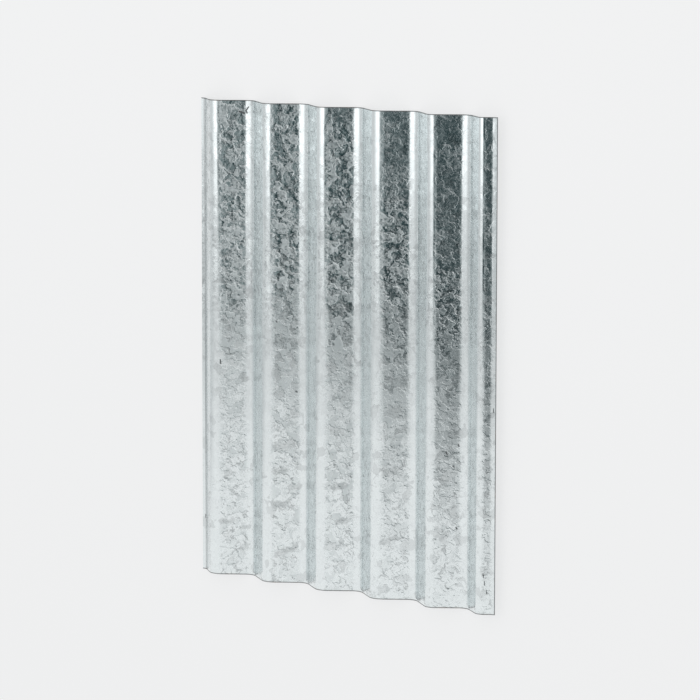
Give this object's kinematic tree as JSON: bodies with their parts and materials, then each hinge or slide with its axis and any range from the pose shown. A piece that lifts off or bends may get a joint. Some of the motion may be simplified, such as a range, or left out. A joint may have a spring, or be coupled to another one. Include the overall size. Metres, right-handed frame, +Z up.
{
  "type": "corrugated galvanized steel sheet",
  "caption": "Short corrugated sheet of galvanized steel with a spangled zinc finish, round crests and valleys, straight cut ends and a small flat lip down one side.",
  "frame": {"origin": "middle of the sheet, on the level surface that its valleys rest on", "axes": "+X across the corrugations towards the side edge without a lip, +Y along the corrugations, +Z up through the sheet"},
  "size_m": [0.4128, 0.5334, 0.0216],
  "materials": {
    "galvanized_steel": "hot-dip zinc coating with leafy spangle, light handling marks and a grey cut edge"
  },
  "bodies": {
    "root": {"corrugated_sheet": "galvanized_steel"}
  },
  "joints": []
}
